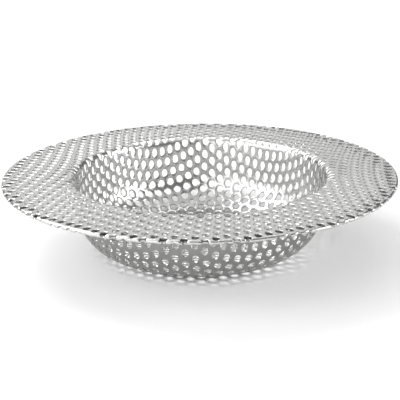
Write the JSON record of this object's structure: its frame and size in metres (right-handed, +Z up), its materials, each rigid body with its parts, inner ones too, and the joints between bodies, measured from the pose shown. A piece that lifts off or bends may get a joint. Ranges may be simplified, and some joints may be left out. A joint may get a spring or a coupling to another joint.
{
  "type": "sink strainer",
  "caption": "Drop-in sink strainer pressed from perforated stainless sheet: a round bowl with a wide flat rim and hemmed edge, to catch scraps in a drain.",
  "frame": {"origin": "middle of the underside of the bowl's floor, on which the strainer stands", "axes": "+Z up along the bowl's axis; a row of the hole pattern runs 23.5 degrees from +X"},
  "size_m": [0.114, 0.114, 0.0225],
  "materials": {
    "stainless": "bright stainless sheet, punched, drawn and tumbled"
  },
  "bodies": {
    "root": {"perforated_bowl": "stainless"}
  },
  "joints": []
}
